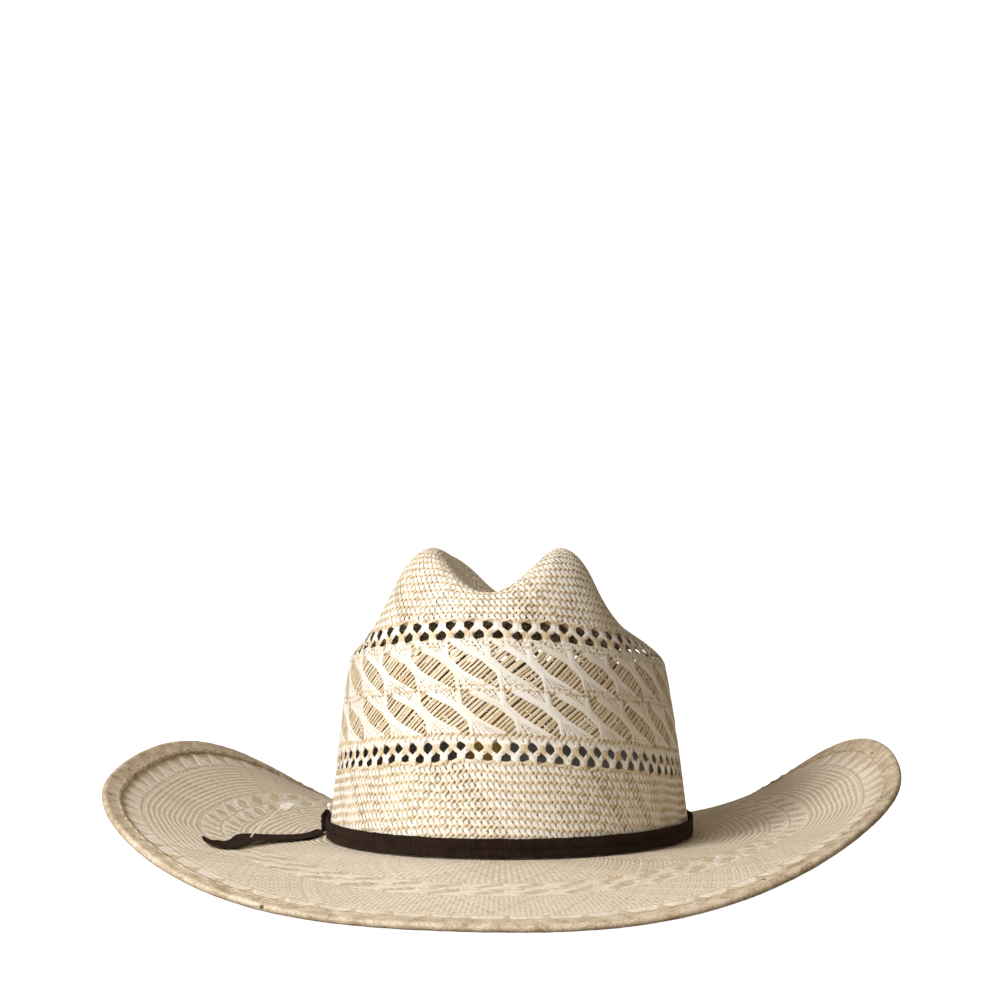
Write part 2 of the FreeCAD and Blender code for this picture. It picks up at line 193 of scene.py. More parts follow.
def make_studio():
    bpy.context.scene.view_settings.view_transform = "Standard"
    world = bpy.data.worlds.new("studio")
    bpy.context.scene.world = world
    world.use_nodes = True
    world.node_tree.nodes["Background"].inputs["Color"].default_value = (1.0, 0.80, 0.57, 1.0)
    world.node_tree.nodes["Background"].inputs["Strength"].default_value = 0.22
    bpy.ops.mesh.primitive_circle_add(vertices=96, radius=14.0, fill_type="NGON")
    white_stage("floor", bpy.context.object)
    bpy.ops.mesh.primitive_uv_sphere_add(segments=48, ring_count=24, radius=20.0)
    white_stage("backdrop", bpy.context.object)
    bpy.ops.mesh.primitive_circle_add(vertices=64, radius=SHADE_RADIUS, fill_type="NGON",
                                      location=(0.0, 0.0, 0.0005))
    shade = bpy.context.object
    shade.name = "floor_shade"
    shade.data.materials.append(shade_material())
    area_light("key", (0.82, 0.97, 0.88), 0.5, 17.5, (1.0, 0.985, 0.96))
    area_light("fill", (0.75, 1.85, 0.8), 1.0, 15.0, (1.0, 0.95, 0.88))
    area_light("top", (0.5, 0.3, 2.3), 1.8, 5.0, (1.0, 0.96, 0.90))


# -------------------------------- materials

def material(name, colour, roughness, specular=0.4, sheen=0.0):
    made = bpy.data.materials.new(name)
    made.use_nodes = True
    skin = made.node_tree.nodes["Principled BSDF"]
    skin.inputs["Base Color"].default_value = (*colour, 1.0)
    skin.inputs["Roughness"].default_value = roughness
    skin.inputs["Specular IOR Level"].default_value = specular
    skin.inputs["Sheen Weight"].default_value = sheen
    return made, made.node_tree, skin


def node(tree, kind, **values):
    made = tree.nodes.new(kind)
    for key, value in values.items():
        if key in made.inputs:
            made.inputs[key].default_value = value
        else:
            setattr(made, key, value)
    return made


def ramp(tree, source, stops):
    made = tree.nodes.new("ShaderNodeValToRGB")
    bar = made.color_ramp
    while len(bar.elements) < len(stops):
        bar.elements.new(0.5)
    for element, (place, colour) in zip(bar.elements, stops):
        element.position = place
        element.color = (*colour, 1.0)
    tree.links.new(source, made.inputs["Fac"])
    return made.outputs["Color"]


def bump(tree, skin, source, strength, distance):
    made = node(tree, "ShaderNodeBump", Strength=strength, Distance=distance)
    tree.links.new(source, made.inputs["Height"])
    tree.links.new(made.outputs["Normal"], skin.inputs["Normal"])


def tint(tree, skin, source, stops):
    tree.links.new(ramp(tree, source, stops), skin.inputs["Base Color"])


def texture(tree, kind, **values):
    """A texture on the object's own coordinates."""
    made = node(tree, kind, **values)
    tree.links.new(node(tree, "ShaderNodeTexCoord").outputs["Object"], made.inputs["Vector"])
    return made


def combined(tree, operation, *sources):
    """A math node's result, from sockets and plain numbers."""
    made = node(tree, "ShaderNodeMath", operation=operation)
    for socket, source in zip(made.inputs, sources):
        if isinstance(source, float):
            socket.default_value = source
        else:
            tree.links.new(source, socket)
    return made.outputs["Value"]


def scaled_coordinates(tree, output, scale):
    place = node(tree, "ShaderNodeTexCoord")
    mapping = node(tree, "ShaderNodeMapping", Scale=scale)
    tree.links.new(place.outputs[output], mapping.inputs["Vector"])
    return mapping.outputs["Vector"]


def shade_material():
    """The soft dark patch of floor under the hat, which fades out at its edge."""
    made, tree, skin = material("floor_shade", (0.30, 0.28, 0.25), 0.9)
    fade = node(tree, "ShaderNodeTexGradient", gradient_type="SPHERICAL")
    scale = 1.0 / SHADE_RADIUS
    tree.links.new(scaled_coordinates(tree, "Object", (scale, scale, scale)), fade.inputs["Vector"])
    tree.links.new(ramp(tree, fade.outputs["Fac"], [(0.03, (0.0, 0.0, 0.0)), (0.4, (1.0, 1.0, 1.0))]),
                   skin.inputs["Alpha"])
    return made


def straw_material(name, dark, middle, light, roughness):
    """Split straw: each one has its own tone, with fine streaks, and is darkest where it dips under, which is
    painted shade.
    """
    made, tree, skin = material(name, middle, roughness, 0.45)
    tone = node(tree, "ShaderNodeAttribute", attribute_name="tone")
    streaks = node(tree, "ShaderNodeTexNoise", Scale=1.0, Detail=2.0)
    tree.links.new(scaled_coordinates(tree, "Object", (900.0, 900.0, 420.0)), streaks.inputs["Vector"])
    mixed = combined(tree, "MULTIPLY_ADD", streaks.outputs["Fac"], 0.35, tone.outputs["Fac"])
    # The ramp's lowest stop is painted shade, for straw where it goes under another.
    tint(tree, skin, mixed, [(0.0, PAINTED_CREVICE_SHADE), (0.2, dark), (0.6, middle), (1.0, light)])
    bump(tree, skin, streaks.outputs["Fac"], 0.25, 0.0002)
    return made


def ribbon_material():
    """Grosgrain: fine ribs across the ribbon, nearly black brown."""
    made, tree, skin = material("grosgrain", (0.020, 0.011, 0.007), 0.8, 0.12, 0.04)
    skin.inputs["Sheen Roughness"].default_value = 0.5
    skin.inputs["Sheen Tint"].default_value = (0.6, 0.42, 0.3, 1.0)
    ribs = node(tree, "ShaderNodeTexWave", Scale=1.0, Distortion=0.4, Detail=1.0, bands_direction="X")
    scale = 2.0 * math.pi * RIBBON_ROUND / RIB / 20.0
    tree.links.new(scaled_coordinates(tree, "UV", (scale, 1.0, 1.0)), ribs.inputs["Vector"])
    worn = texture(tree, "ShaderNodeTexNoise", Scale=160.0, Detail=3.0)
    mixed = combined(tree, "MULTIPLY", ribs.outputs["Fac"], worn.outputs["Fac"])
    tint(tree, skin, mixed, [(0.08, (0.004, 0.002, 0.0015)), (0.5, (0.040, 0.021, 0.013))])
    bump(tree, skin, ribs.outputs["Fac"], 0.9, 0.0003)
    return made


def hem_material():
    """Straw folded over and pressed: close grains, blotches and a few dark broken ends."""
    made, tree, skin = material("straw_hem", (0.70, 0.60, 0.45), 0.5, 0.4)
    grain = texture(tree, "ShaderNodeTexVoronoi", Scale=820.0, Randomness=0.8)
    blotch = texture(tree, "ShaderNodeTexNoise", Scale=130.0, Detail=5.0, Roughness=0.65)
    broken = texture(tree, "ShaderNodeTexVoronoi", Scale=90.0)
    mixed = combined(tree, "MULTIPLY_ADD", grain.outputs["Distance"], -0.3, blotch.outputs["Fac"])
    tones = [(0.15, (0.38, 0.29, 0.18)), (0.38, (0.64, 0.54, 0.41)), (0.62, (0.86, 0.78, 0.65))]
    straw = ramp(tree, mixed, tones)
    spots = ramp(tree, broken.outputs["Distance"], [(0.07, (0.16, 0.11, 0.07)), (0.11, (1.0, 1.0, 1.0))])
    blend = node(tree, "ShaderNodeMix", data_type="RGBA", blend_type="MULTIPLY")
    blend.inputs["Factor"].default_value = 1.0
    tree.links.new(straw, blend.inputs[6])
    tree.links.new(spots, blend.inputs[7])
    tree.links.new(blend.outputs[2], skin.inputs["Base Color"])
    bump(tree, skin, mixed, 0.6, 0.0005)
    return made


def metal_material(name, colour, roughness):
    made, tree, skin = material(name, colour, roughness, 0.5)
    skin.inputs["Metallic"].default_value = 1.0
    drawn = texture(tree, "ShaderNodeTexNoise", Scale=700.0, Detail=2.0)
    tint(tree, skin, drawn.outputs["Fac"], [(0.3, tuple(0.75 * part for part in colour)), (0.7, colour)])
    bump(tree, skin, drawn.outputs["Fac"], 0.15, 0.0001)
    return made


def nylon_material(name, dull, bright):
    made, tree, skin = material(name, bright, 0.35, 0.5)
    skin.inputs["Subsurface Weight"].default_value = 0.25
    skin.inputs["Subsurface Radius"].default_value = (0.002, 0.002, 0.002)
    flow = texture(tree, "ShaderNodeTexNoise", Scale=500.0, Detail=2.0)
    tint(tree, skin, flow.outputs["Fac"], [(0.3, dull), (0.7, bright)])
    bump(tree, skin, flow.outputs["Fac"], 0.1, 0.0001)
    return made


def cloth_material(name, dark, light):
    """Plain woven cloth, a thread about every 0.4 mm."""
    made, tree, skin = material(name, light, 0.8, 0.2, 0.2)
    skin.inputs["Sheen Roughness"].default_value = 0.5
    threads = []
    for direction in ("X", "Z"):
        wave = texture(tree, "ShaderNodeTexWave", Scale=780.0, Distortion=0.6, bands_direction=direction)
        threads.append(wave.outputs["Fac"])
    crossed = combined(tree, "MULTIPLY", *threads)
    tint(tree, skin, crossed, [(0.0, dark), (0.8, light)])
    bump(tree, skin, crossed, 0.4, 0.0002)
    return made


def leather_material():
    """Grey leather with a fine grain, a little worn."""
    made, tree, skin = material("sweatband_leather", (0.38, 0.38, 0.38), 0.55, 0.4)
    grain = texture(tree, "ShaderNodeTexVoronoi", Scale=900.0)
    worn = texture(tree, "ShaderNodeTexNoise", Scale=45.0, Detail=4.0)
    tint(tree, skin, worn.outputs["Fac"], [(0.3, (0.31, 0.31, 0.31)), (0.75, (0.45, 0.45, 0.46))])
    bump(tree, skin, grain.outputs["Distance"], 0.35, 0.0003)
    return made


def thread_material(name, dark, light):
    made, tree, skin = material(name, light, 0.7, 0.35)
    grain = texture(tree, "ShaderNodeTexNoise", Scale=1400.0, Detail=5.0)
    tint(tree, skin, grain.outputs["Fac"], [(0.3, dark), (0.7, light)])
    bump(tree, skin, grain.outputs["Fac"], 0.4, 0.0002)
    return made


# -------------------------------- surfaces of the straw body

def smooth(x):
    x = np.clip(x, 0.0, 1.0)
    return x * x * (3.0 - 2.0 * x)


def oval_factor(phi, power):
    return (np.abs(np.cos(phi)) ** power + np.abs(np.sin(phi)) ** power) ** (-1.0 / power)


def crown_surface(phi, station):
    """The outside of the crown. Station 0 is the break, 1 the shoulder and 2 the middle of the top."""
    turn_wide = (1.0 - TURN ** BLOCK_POWER) ** (1.0 / BLOCK_POWER)
    low = TURN * np.minimum(station, 1.0)
    wide = np.where(station <= 1.0, (1.0 - low ** BLOCK_POWER) ** (1.0 / BLOCK_POWER),
                    turn_wide * (2.0 - station))
    high = np.where(station <= 1.0, low,
                    (1.0 - np.clip(wide, 0.0, 1.0) ** BLOCK_POWER) ** (1.0 / BLOCK_POWER))
    rise = high * BLOCK_HEIGHT
    reach = oval_factor(phi, OVAL_POWER) * wide
    x = reach * np.cos(phi) * (OPEN_HALF_WIDTH - SIDE_TAPER * rise)
    y = reach * np.sin(phi) * (OPEN_HALF_LENGTH - END_TAPER * rise) + BACK_LEAN * high
    z = rise * (1.0 - FRONT_DROP * (OPEN_HALF_LENGTH - y) / (2.0 * OPEN_HALF_LENGTH))
    along = smooth((DENT_BACK - y) / (DENT_BACK - DENT_FULL))
    x = x * (1.0 - DENT * along * smooth((high - DENT_FOOT) / (DENT_HEAD - DENT_FOOT)))
    x = x * (1.0 - PINCH * smooth((20.0 - y) / 110.0) * high ** 2)
    depth = CREASE_BACK + (CREASE_FRONT - CREASE_BACK) * smooth((90.0 - y) / 110.0)
    depth = depth - 10.0 * smooth((-y - 20.0) / 80.0)
    z = z - depth * np.exp(-((x / CREASE_HALF_WIDTH) ** 2)) * high ** CREASE_POWER
    return np.stack([x, y, z], axis=-1)


def edge_curve(phi):
    """The brim's edge, seen from above as an egg that is squarer behind, with its height in waves."""
    side, end = np.cos(phi), np.sin(phi)
    reach = oval_factor(phi, 2.1 + 0.31 * end + 0.2 * ((1.0 - end) / 2.0) ** 4)
    x = EDGE_HALF_WIDTH * reach * side * (1.0 + EDGE_EGG * end)
    y = np.where(end > 0, EDGE_BACK, EDGE_FRONT) * reach * end
    z = sum(height * wave(count * phi) for wave, count, height in EDGE_WAVES)
    return np.stack([x, y, z + 0.0 * phi], axis=-1)


def brim_surface(phi, share):
    """The middle of the brim's straw. Share 0 is at the head opening and 1 at the edge wire."""
    reach = oval_factor(phi, OVAL_POWER)
    x = (OPEN_HALF_WIDTH - STRAW) * reach * np.cos(phi)
    y = (OPEN_HALF_LENGTH - STRAW) * reach * np.sin(phi)
    edge = edge_curve(phi)
    curl = 1.2 + 0.8 * np.cos(phi) ** 2
    z = -STRAW / 2.0 + (edge[..., 2] + STRAW / 2.0) * np.maximum(share, 0.0) ** curl
    return np.stack([x + (edge[..., 0] - x) * share, y + (edge[..., 1] - y) * share, z], axis=-1)


# Straws are spread evenly by length round the opening, so a share of a turn is looked up as an angle.
PHIS = np.linspace(0.0, 2.0 * math.pi, 721)
PHI_STEPS = np.linalg.norm(np.diff(brim_surface(PHIS, 0.0 * PHIS), axis=0), axis=1)
TURN_SHARE = np.concatenate([[0.0], np.cumsum(PHI_STEPS) / PHI_STEPS.sum()])


def angle_at(turn):
    return np.interp(turn % 1.0, TURN_SHARE, PHIS)


# A level is millimetres up the back of the crown. The rows of the weave drop towards the front.
LEVEL_TOP = 107.0
LEVEL_END = 232.0
LEVELS = np.linspace(0.0, LEVEL_END, 465)
STATIONS = np.linspace(0.0, 2.0, 1201)


def row_drop(phi):
    """How far the weave's rows drop below their level, most at the front."""
    return 15.0 - 10.0 * np.sin(phi) - 5.0 * np.sin(phi) ** 2


def crown_levels():
    """The crown's station for every angle in PHIS and every level in LEVELS."""
    table = np.zeros((len(PHIS), len(LEVELS)))
    wall = STATIONS <= 1.0
    for i, phi in enumerate(PHIS):
        line = crown_surface(phi + 0.0 * STATIONS, STATIONS)
        run = np.concatenate([[0.0], np.cumsum(np.linalg.norm(np.diff(line, axis=0), axis=1))])
        low = np.interp(np.minimum(LEVELS, LEVEL_TOP) - row_drop(phi), line[wall, 2], STATIONS[wall])
        start = np.interp(low[-1], STATIONS, run)
        share = np.clip((LEVELS - LEVEL_TOP) / (LEVEL_END - LEVEL_TOP), 0.0, 1.0)
        high = np.interp(start + (run[-1] - start) * share, run, STATIONS)
        table[i] = np.where(LEVELS <= LEVEL_TOP, low, high)
    return table


CROWN_TABLE = crown_levels()


def crown_place(turn, level):
    """A point on the crown from a share of a turn and a level."""
    phi = angle_at(turn)
    column = np.clip(phi / PHIS[1], 0.0, len(PHIS) - 1.001)
    row = np.clip(level / LEVELS[1], 0.0, len(LEVELS) - 1.001)
    left, under = column.astype(int), row.astype(int)
    across, rise = column - left, row - under
    low = CROWN_TABLE[left, under] * (1 - across) + CROWN_TABLE[left + 1, under] * across
    high = CROWN_TABLE[left, under + 1] * (1 - across) + CROWN_TABLE[left + 1, under + 1] * across
    return crown_surface(phi, low * (1 - rise) + high * rise)


BRIM_LENGTH = 100.0
RIBBON_ROUND = float(np.linalg.norm(np.diff(crown_surface(PHIS, 0.0 * PHIS), axis=0), axis=1).sum())


def brim_place(turn, level):
    """A point on the brim from a share of a turn and how far out it is, 0 to 100."""
    return brim_surface(angle_at(turn), level / BRIM_LENGTH)


def normals(place, turn, level, facing):
    """Unit vectors square to a surface. facing is 1 for the crown and -1 for the brim."""
    along = place(turn + 0.0015, level) - place(turn - 0.0015, level)
    across = place(turn, level + 0.4) - place(turn, level - 0.4)
    square = np.cross(along, across) * facing
    return square / np.maximum(np.linalg.norm(square, axis=-1, keepdims=True), 1e-9)


# -------------------------------- mesh makers

def mesh_from(name, points, quads, uvs, paint, body, tone=None):
    """A smooth mesh from points in millimetres and an array of quads, riding on a body."""
    data = bpy.data.meshes.new(name)
    points = to_metres(points).astype(np.float32)
    data.vertices.add(len(points))
    data.vertices.foreach_set("co", points.ravel())
    data.loops.add(quads.size)
    data.loops.foreach_set("vertex_index", quads.ravel().astype(np.int32))
    data.polygons.add(len(quads))
    data.polygons.foreach_set("loop_start", np.arange(0, quads.size, 4, dtype=np.int32))
    data.polygons.foreach_set("use_smooth", np.ones(len(quads), bool))
    data.update(calc_edges=True)
    if tone is not None:
        layer = data.attributes.new("tone", "FLOAT", "POINT")
        layer.data.foreach_set("value", tone.astype(np.float32))
    layer = data.uv_layers.new(name="OFBake")
    layer.data.foreach_set("uv", uvs.astype(np.float32).ravel())
    data.validate()
    data.materials.append(paint)
    made = added(name, data)
    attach(made, body)
    return made


def straws(name, centre, up, width, thick, keep, tone, paint):
    """Flat split straws. centre and up are (straw, sample, 3); keep says which spans exist. Their faces are
    shaded as slightly rounded."""
    count, samples = centre.shape[:2]
    run = unit(np.gradient(centre, axis=1))
    across = unit(np.cross(up, run))
    half, rise = width[..., None] / 2.0, thick / 2.0
    corners = ((1.0, 1.0), (-1.0, 1.0), (-1.0, -1.0), (1.0, -1.0))
    rings = np.stack([centre + across * (half * side) + up * (rise * high) for side, high in corners], axis=2)
    bends = np.stack([unit(up * high + across * (0.3 * side)) for side, high in corners], axis=2)
    index = np.arange(count * samples * 4).reshape(count, samples, 4)
    ahead = np.roll(index, -1, axis=2)
    quads = np.stack([index[:, :-1], ahead[:, :-1], ahead[:, 1:], index[:, 1:]], axis=-1)
    u = np.broadcast_to(np.linspace(0.0, 1.0, samples)[None, :, None], (count, samples, 4))
    row = (np.arange(count)[:, None, None] + np.arange(4)[None, None, :] / 4.0) / count
    row = np.broadcast_to(row, (count, samples, 4))
    step = 0.25 / count
    uvs = np.stack([
        np.stack([u[:, :-1], row[:, :-1]], -1), np.stack([u[:, :-1], row[:, :-1] + step], -1),
        np.stack([u[:, 1:], row[:, 1:] + step], -1), np.stack([u[:, 1:], row[:, 1:]], -1)], axis=-2)
    chosen = np.broadcast_to(keep[:, :, None], quads.shape[:3])
    quads, uvs = quads[chosen], uvs[chosen]
    used = np.unique(quads)
    renumber = np.zeros(index.size, int)
    renumber[used] = np.arange(len(used))
    tones = np.broadcast_to(tone[..., None], (count, samples, 4)).reshape(-1)[used]
    made = mesh_from(name, rings.reshape(-1, 3)[used], renumber[quads], uvs, paint, "hat", tones)
    made.data.normals_split_custom_set_from_vertices(bends.reshape(-1, 3)[used])
    return made


def lofted(name, parts, paint, body, u_size=None):
    """One piece made of swept parts. Each part is a grid of points, (station, corner of its section), and
    says whether its last station meets its first. u_size is the length that u = 1 stands for."""
    points, quads, uvs, start = [], [], [], 0
    for number, (grid, closed) in enumerate(parts):
        stations, corners = grid.shape[:2]
        middle = grid.mean(axis=1)
        if closed:
            middle = np.concatenate([middle, middle[:1]])
        run = np.concatenate([[0.0], np.cumsum(np.linalg.norm(np.diff(middle, axis=0), axis=1))])
        u = run / (u_size or run[-1])
        v = (number + np.arange(corners + 1) / corners) / len(parts)
        index = start + np.arange(stations * corners).reshape(stations, corners)
        index = np.concatenate([index, index[:, :1]], axis=1)
        if closed:
            index = np.concatenate([index, index[:1]])
        spot = np.stack(np.meshgrid(u, v, indexing="ij"), axis=-1)
        for found, field in ((quads, index), (uvs, spot)):
            around = [field[:-1, :-1], field[:-1, 1:], field[1:, 1:], field[1:, :-1]]
            found.append(np.stack(around, axis=2).reshape((-1, 4) + field.shape[2:]))
        points.append(grid.reshape(-1, 3))
        start += stations * corners
    points, quads, uvs = np.concatenate(points), np.concatenate(quads), np.concatenate(uvs)
    return outward(mesh_from(name, points, quads, uvs, paint, body))


def outward(made):
    """Turns every face of closed parts to the outside."""
    work = bmesh.new()
    work.from_mesh(made.data)
    bmesh.ops.recalc_face_normals(work, faces=work.faces)
    work.to_mesh(made.data)
    work.free()
    return made


def unit(vectors):
    return vectors / np.maximum(np.linalg.norm(vectors, axis=-1, keepdims=True), 1e-9)


def curve_through(rows, count):
    """A smooth curve through rows of numbers, sampled evenly."""
    rows = np.asarray(rows, float)
    place = np.linspace(0.0, len(rows) - 1.0, count)
    first = np.clip(place.astype(int), 0, len(rows) - 2)
    share = (place - first)[:, None]
    before, after = np.maximum(first - 1, 0), np.minimum(first + 2, len(rows) - 1)
    p0, p1, p2, p3 = rows[before], rows[first], rows[first + 1], rows[after]
    return 0.5 * (2 * p1 + (p2 - p0) * share + (2 * p0 - 5 * p1 + 4 * p2 - p3) * share ** 2
                  + (3 * p1 - p0 - 3 * p2 + p3) * share ** 3)


def tube(path, radius, sides=10):
    """A round section swept along a path, with a radius for each of its points."""
    run = unit(np.gradient(path, axis=0))
    helper = np.where(np.abs(run[:, 2:]) > 0.9, [[1.0, 0.0, 0.0]], [[0.0, 0.0, 1.0]])
    one = unit(np.cross(run, helper))
    two = np.cross(run, one)
    turn = np.linspace(0.0, 2.0 * math.pi, sides, endpoint=False)[None, :, None]
    return path[:, None] + (one[:, None] * np.cos(turn) + two[:, None] * np.sin(turn)) * radius[:, None, None]


def strip(path, across, half, thick, columns=9, bow=0.0):
    """A flat ribbon's section swept along a path: across is its width's direction at each point."""
    run = unit(np.gradient(path, axis=0))
    across = unit(across - run * np.sum(across * run, axis=-1, keepdims=True))
    up = np.cross(run, across)
    side = np.linspace(-1.0, 1.0, columns)
    side = np.concatenate([side, side[::-1]])
    lift = np.concatenate([np.full(columns, -0.5), np.full(columns, 0.5)]) * (1.0 - 0.6 * np.abs(side) ** 6)
    rise = lift[None, :] * thick[:, None] + bow * (1.0 - side[None, :] ** 2)
    return (path[:, None] + across[:, None] * (side[None, :] * half[:, None])[..., None]
            + up[:, None] * rise[..., None])


def thread(name, start, end, up, paint):
    """Stitches, one from each start to its end, a little bowed and with their ends going in."""
    share = np.linspace(0.0, 1.0, 7)
    parts = []
    for first, last, high in zip(start, end, up):
        arch = STITCH_RADIUS * (1.2 * np.sin(math.pi * share) - 1.0)
        path = first + (last - first) * share[:, None] + high * arch[:, None]
        parts.append((tube(path, STITCH_RADIUS * (0.35 + 0.65 * np.sin(math.pi * share) ** 0.5), 6), False))
    return lofted(name, parts, paint, "hat")


def waves(turn, level, seed):
    """A slow unevenness over the surface, about -1 to 1."""
    local = np.random.default_rng(seed)
    total = 0.0 * (turn + level)
    for _ in range(7):
        around, up, shift = local.integers(3, 26), local.uniform(0.04, 0.22), local.uniform(0, 6.28)
        total = total + np.sin(2 * math.pi * around * turn + up * level + shift)
    return total / 3.5


def spacing(centre):
    """How far each straw is from the ones beside it, square to its run."""
    run = unit(np.gradient(centre, axis=1))
    gap = np.roll(centre, -1, axis=0) - centre
    gap = gap - run * np.sum(gap * run, axis=-1, keepdims=True)
    space = np.linalg.norm(gap, axis=-1)
    return 0.5 * (space + np.roll(space, 1, axis=0))


def weave(name, count, levels, place, facing, offset, paints, fill, open_fill=(1.0, 0.7), lift=0.17,
          gather=None, lowest=None, shift=0.0, thick=0.24, closed=0.0, dip_shade=0.42):
    """Plain weave of two slanting families of straws, with one level for each row of crossings. White straws
    are on top in even rows and tan ones in odd rows. fill is each family's width as a share of its spacing,
    and open_fill the same where the weave is open. gather moves straws sideways and says how open the weave
    is there. Nothing below the height lowest is kept. closed says how much denser the hat's front is, and
    dip how much painted shade darkens a straw where it goes under another."""
    rows = np.arange(len(levels))
    far = rows[:-1][np.diff(levels) > 2.5]
    t = np.concatenate([rows - 0.25, rows + 0.25, far, far + 0.5])
    t = np.unique(np.clip(t, rows[0], rows[-1]))
    level = np.interp(t, rows, levels)[None, :]
    made = []
    for family, (kind, sign) in enumerate((("white", -1.0), ("tan", 1.0))):
        k = np.arange(count)[:, None]
        at = k + shift + sign * t[None, :] / 2.0
        at = at + RNG.normal(0.0, 0.045, (count, 1)) + RNG.normal(0.0, 0.015, at.shape)
        open_share = np.zeros(at.shape)
        if gather is not None:
            at, open_share = gather(kind, k, at, level + 0.0 * at)
        turn = at / count
        uneven = waves(turn, level, 5)
        from_ends = np.minimum(level - levels[0], levels[-1] - level)
        here = level + 0.5 * waves(turn, level, 6) * np.minimum(1.0, from_ends / 4.0)
        up = normals(place, turn, here, facing)
        side = 1.0 if kind == "white" else -1.0
        woven = side * np.clip(1.5 * np.cos(math.pi * t), -1.0, 1.0)[None, :]
        height = woven * (1.0 - open_share) + open_share * (0.9 if kind == "white" else -0.5)
        centre = place(turn, here) + up * (offset + lift * height[..., None])
        share = fill[family] * (1.0 + 0.07 * uneven) * (1.0 - open_share) + open_fill[family] * open_share
        share = share * (1.0 + 0.32 * closed * smooth(-centre[..., 1] / 60.0))
        width = np.clip(spacing(centre) * share, 0.45, 2.8) * (1.0 + RNG.normal(0.0, 0.04, (count, 1)))
        keep = np.ones((count, len(t) - 1), bool)
        if lowest is not None:
            high_enough = centre[..., 2] > lowest
            keep = high_enough[:, 1:] & high_enough[:, :-1]
        tone = np.clip(0.42 + RNG.normal(0.0, 0.18, (count, 1)) + RNG.normal(0.0, 0.04, at.shape), 0.08, 0.95)
        # Painted shade: each straw is darkened where it goes under another, less where the weave is open.
        tone = tone - dip_shade * (1.0 - open_share) * np.clip(-woven, 0.0, 1.0)
        made.append(straws(f"{name}_{kind}", centre, up, width, thick, keep, tone, paints[family]))
    return made


def bundles(rows, size, half, tight, most_open=1.0):
    """Rows of windows in open weave, left between white straws that are drawn together in groups. Each row
    has its middle level and the first straw of a group."""
    def gather(kind, k, at, level):
        moved, open_share = at, np.zeros(at.shape)
        for middle, first in rows:
            x = np.clip(np.abs(level - middle) / half, 0.0, 1.0)
            inside = smooth(2.4 * (1.0 - x))
            if kind == "white":
                place = (k - first) % size - (size - 1) / 2.0
                moved = moved - place * tight * np.clip(1.4 * (1.0 - x), 0.0, 1.0)
            else:
                moved = moved + inside * RNG.normal(0.0, 0.13, at.shape[:1])[:, None]
            open_share = np.maximum(open_share, inside)
        return moved, open_share * most_open
    return gather


def holes(rows):
    """Rows of holes that push the straws apart. Each row has its level and the place of its first hole."""
    half = HOLE_EVERY / 2.0

    def gather(kind, k, at, level):
        push = np.zeros(at.shape)
        for middle, first in rows:
            offset = (at - first + half) % HOLE_EVERY - half
            pushed = np.sign(offset) * (HOLE_CLEAR + np.abs(offset) * (half - HOLE_CLEAR) / half)
            push += (pushed - offset) * smooth(1.4 * (1.0 - np.abs(level - middle) / HOLE_REACH))
        return at + push, np.zeros(at.shape)
    return gather


# -------------------------------- the woven crown

def rising(start, *parts):
    """Levels from a start, with (end, count) parts that each go on evenly from the last end."""
    levels = [start]
    for end, count in parts:
        levels += list(np.linspace(levels[-1], end, count + 1)[1:])
    return levels


def make_crown(paints):
    """Woven zones from the break up: close weave, windows, and a top that has fewer straws as it narrows."""
    inside = -STRAW / 2.0
    levels = rising(0.0, (43.0, 21), (46.0, 1), (50.0, 1), (53.6, 1))
    pieces = weave("crown_lower", 210, levels, crown_place, 1.0, inside, paints, fill=(0.76, 0.61),
                   gather=holes(LOWER_HOLES), lowest=0.6, shift=0.6, closed=1.0)
    levels = rising(53.3, (56.2, 1), (76.2, 16), (77.2, 1), (97.2, 16), (98.6, 1))
    pieces += weave("crown_vents", 189, levels, crown_place, 1.0, inside, paints, fill=(0.78, 0.66),
                    open_fill=(0.62, 0.68), gather=bundles(VENT_ROWS, VENT_STRAWS, 10.8, 0.87), shift=0.7,
                    closed=1.0)
    zones = ((174, rising(98.0, (101.0, 1), (105.0, 1), (108.0, 1), (152.0, 21))),
             (120, rising(151.6, (179.0, 13))), (80, rising(178.6, (200.0, 10))),
             (50, rising(199.6, (215.0, 7))), (26, rising(214.6, (231.8, 6))))
    for number, (count, levels) in enumerate(zones):
        gather = holes(UPPER_HOLES) if number == 0 else None
        offset = inside - 0.05 * number
        pieces += weave(f"crown_top_{number}", count, levels, crown_place, 1.0, offset, paints,
                        fill=(0.76, 0.62), gather=gather, shift=0.45, closed=1.0)
    return pieces


# -------------------------------- the woven brim

def brim_teeth(kind, k, at, level):
    """White straws run straight outwards and draw together in groups, which makes a row of triangles."""
    inside = smooth((level - TEETH_START - 0.3) / 2.5)
    if kind == "white":
        straight = at + TEETH_ROWS / 2.0 * (level - TEETH_START) / (TEETH_END - TEETH_START)
        place = k % TOOTH_STRAWS - (TOOTH_STRAWS - 1) / 2.0
        return straight - place * 0.9 * np.clip((level - TEETH_START - 0.8) / 8.0, 0.0, 1.0), 0.9 * inside
    return at, 0.9 * inside


